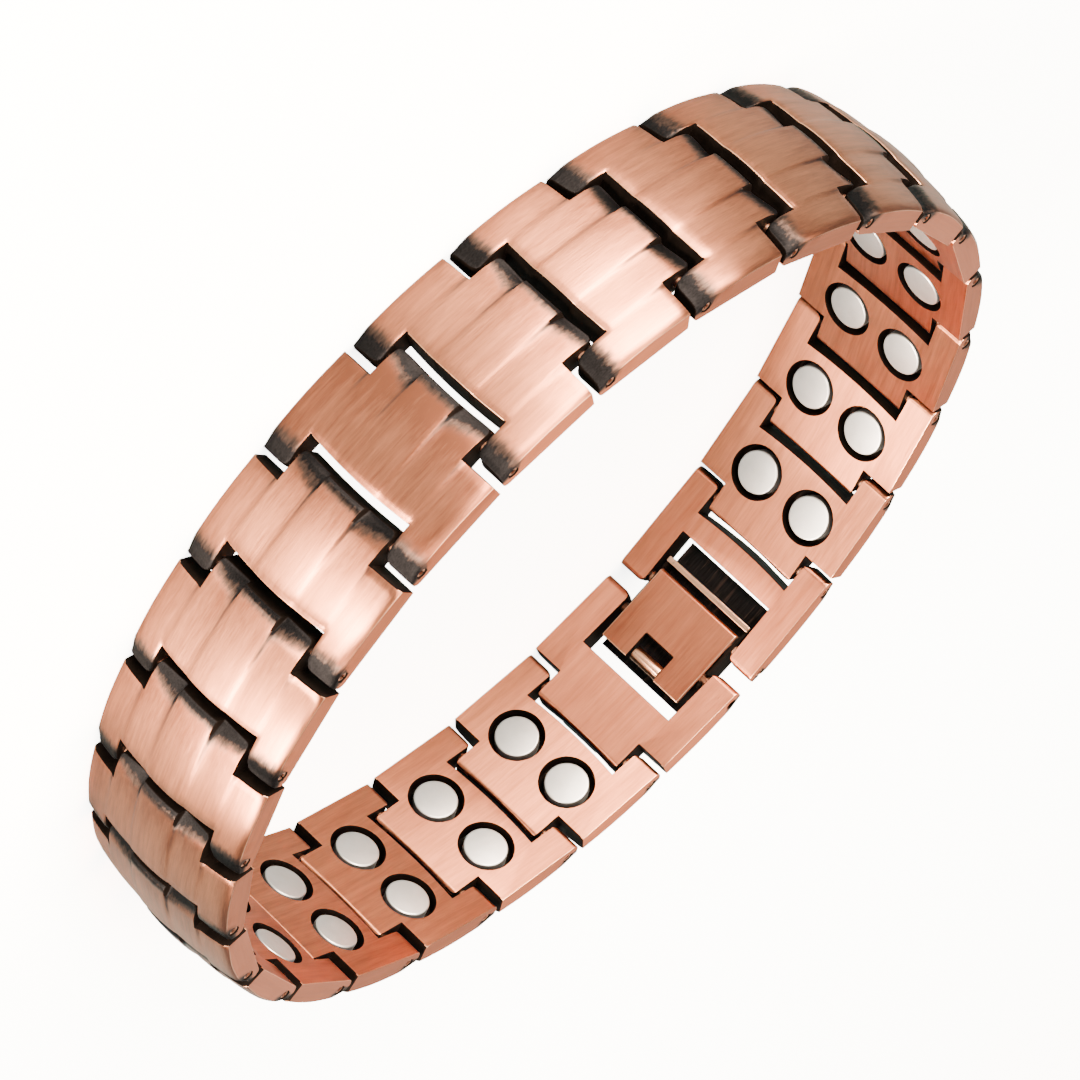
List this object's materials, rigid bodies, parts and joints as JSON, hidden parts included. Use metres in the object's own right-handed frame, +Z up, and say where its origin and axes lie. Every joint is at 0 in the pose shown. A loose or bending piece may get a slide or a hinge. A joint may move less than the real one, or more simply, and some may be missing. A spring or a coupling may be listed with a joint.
{
  "type": "magnetic bracelet",
  "caption": "Closed oval link bracelet in brushed antique copper, flat banded links on cross pins, round silver magnets inside and a fold-over clasp whose cover swings open.",
  "frame": {"origin": "middle of the ring, on the surface that the lower side faces of the links stand on", "axes": "+Z up along the ring's axis and across the bracelet's width, +Y towards the clasp, +X along the longer overall extent"},
  "size_m": [0.072, 0.0704, 0.0135],
  "materials": {
    "copper": "copper, brushed along the chain, dark patina in the notches and at the link ends",
    "clasp_copper": "copper, finely brushed, slightly darker than the links",
    "pin_copper": "bright rolled copper-coloured pin ends",
    "dark_pin": "dark patinated copper",
    "magnet_silver": "satin nickel-plated magnet faces"
  },
  "bodies": {
    "bracelet": {"link_01": "copper", "link_02": "copper", "link_03": "copper", "link_04": "copper", "link_05": "copper", "link_06": "copper", "link_07": "copper", "link_08": "copper", "link_09": "copper", "link_10": "copper", "link_11": "copper", "link_12": "copper", "link_13": "copper", "link_14": "copper", "link_15": "copper", "link_16": "copper", "link_17": "copper", "link_18": "copper", "link_19": "copper", "link_20": "copper", "link_21": "copper", "link_22": "copper", "link_23": "copper", "plain_end_link": "copper", "window_end_link": "copper", "clasp_bridge": "clasp_copper", "link_pins": "pin_copper", "hinge_pin": "pin_copper", "catch_pin": "dark_pin", "magnets": "magnet_silver"},
    "cover": {"clasp_cover": "clasp_copper"}
  },
  "joints": [
    {"name": "cover_hinge", "type": "hinge", "parent": "bracelet", "child": "cover", "pos_m": [-0.00153, 0.03336, 0.00675], "axis": [0, 0, -1], "range_deg": [0, 90]}
  ]
}
